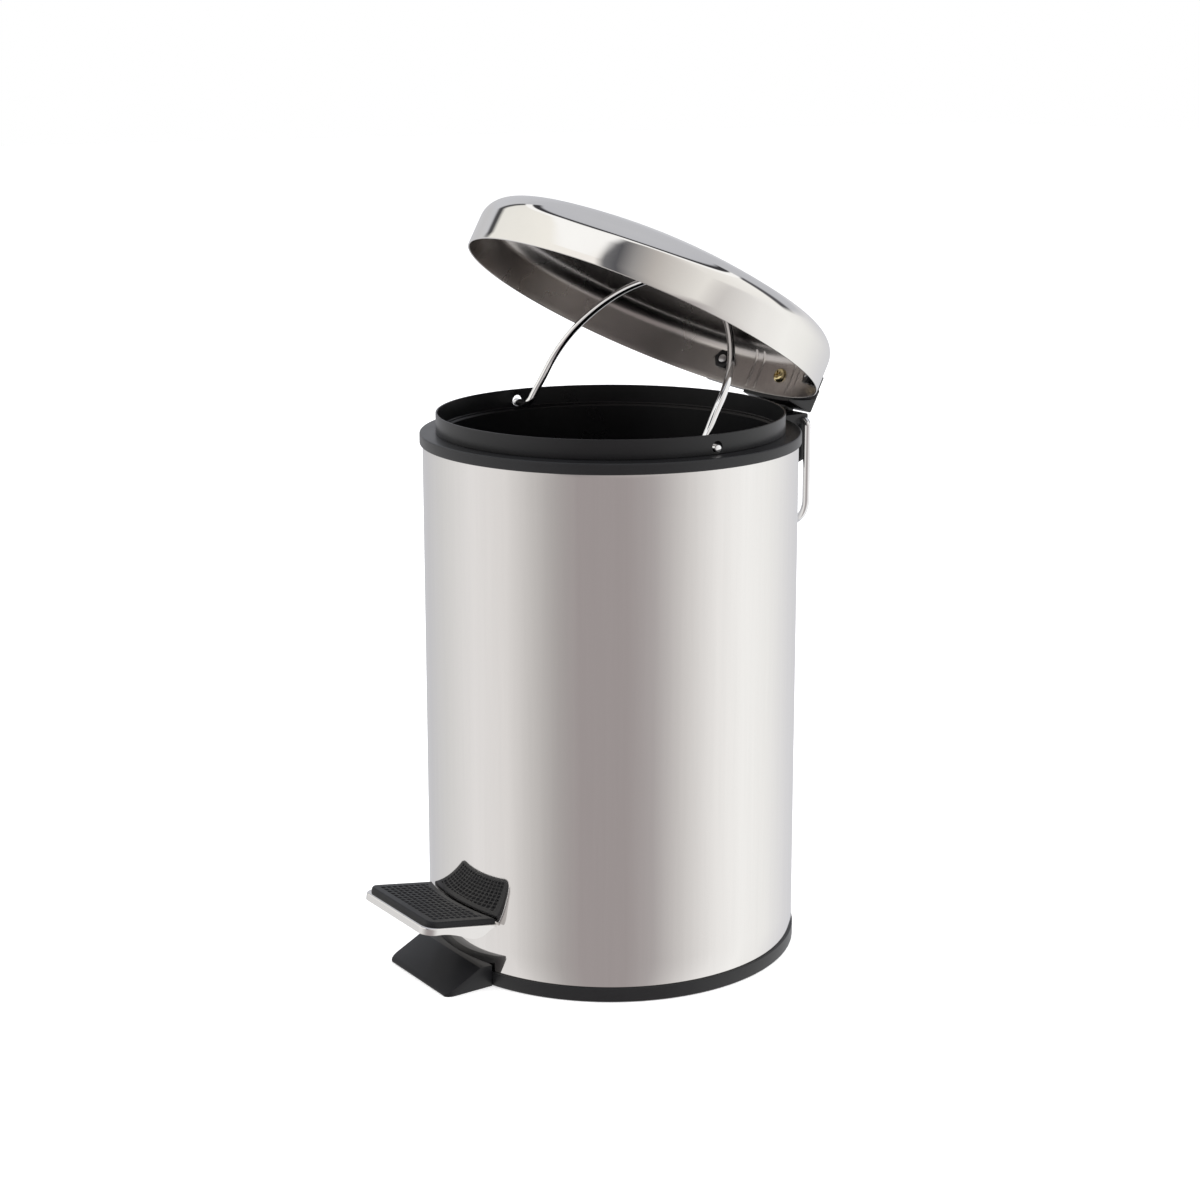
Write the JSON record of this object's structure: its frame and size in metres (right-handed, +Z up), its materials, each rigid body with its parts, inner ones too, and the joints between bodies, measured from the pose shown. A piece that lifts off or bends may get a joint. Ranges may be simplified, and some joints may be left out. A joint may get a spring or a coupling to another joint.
{
  "type": "pedal trash can",
  "caption": "Round step-on bin with a polished steel body, lift-out bucket with wire bail, and a hinged lid raised by a dimpled foot pedal.",
  "frame": {"origin": "on the floor, on the axis of the round body", "axes": "+Z up, pedal towards -Y, lid hinge towards +Y, X across"},
  "size_m": [0.1726, 0.2259, 0.3452],
  "materials": {
    "shell_steel": "mirror-polished stainless steel",
    "lid_steel": "mirror-polished stainless steel, brushed inside",
    "black_plastic": "satin black",
    "bucket_plastic": "satin black",
    "black_rubber": "matte",
    "tread_rubber": "satin, dimpled",
    "zinc_steel": "zinc plated",
    "lever_steel": "plated strip",
    "brass_screw": "satin",
    "chrome_wire": "bright chrome",
    "pedal_chrome": "bright chrome"
  },
  "bodies": {
    "body": {"outer_shell": "shell_steel", "base": "black_plastic", "rubber_feet": "black_rubber", "top_collar": "black_plastic", "bucket": "bucket_plastic", "hinge_bracket": "black_plastic", "bracket_screws": "zinc_steel", "hinge_pin": "zinc_steel", "rod_guide": "black_plastic", "pedal_axle": "zinc_steel"},
    "lid": {"lid_shell": "lid_steel", "lid_hinge_arm": "black_plastic", "lid_screw": "brass_screw", "lid_nuts": "black_plastic"},
    "bail": {"bail_handle": "chrome_wire"},
    "rod": {"push_rod": "zinc_steel"},
    "pedal": {"pedal_lever": "lever_steel", "pedal_plate": "pedal_chrome", "tread_pad": "tread_rubber", "pedal_rivets": "zinc_steel"},
    "grip": {"carry_handle": "chrome_wire"}
  },
  "joints": [
    {"name": "lid_hinge", "type": "hinge", "parent": "body", "child": "lid", "pos_m": [0, 0.098, 0.2305], "axis": [-1, 0, 0], "range_deg": [-28.3, 30]},
    {"name": "bail_pivot", "type": "hinge", "parent": "body", "child": "bail", "pos_m": [0, 0, 0.2415], "axis": [1, 0, 0], "range_deg": [-85, 90.5]},
    {"name": "rod_slide", "type": "slide", "parent": "body", "child": "rod", "axis": [0, 0, 1], "range_m": [-0.0087, 0.0093]},
    {"name": "pedal_pivot", "type": "hinge", "parent": "body", "child": "pedal", "pos_m": [0, -0.03, 0.028], "axis": [1, 0, 0], "range_deg": [-4.6, 4.9]},
    {"name": "grip_pivot", "type": "hinge", "parent": "body", "child": "grip", "pos_m": [0, 0.0988, 0.2364], "axis": [1, 0, 0], "range_deg": [0, 90]}
  ],
  "couplings": [
    {"joint": "bail_pivot", "follows": "lid_hinge", "ratio": 3},
    {"joint": "rod_slide", "follows": "lid_hinge", "m_per_rad": 0.0174},
    {"joint": "pedal_pivot", "follows": "lid_hinge", "ratio": 0.1589}
  ]
}
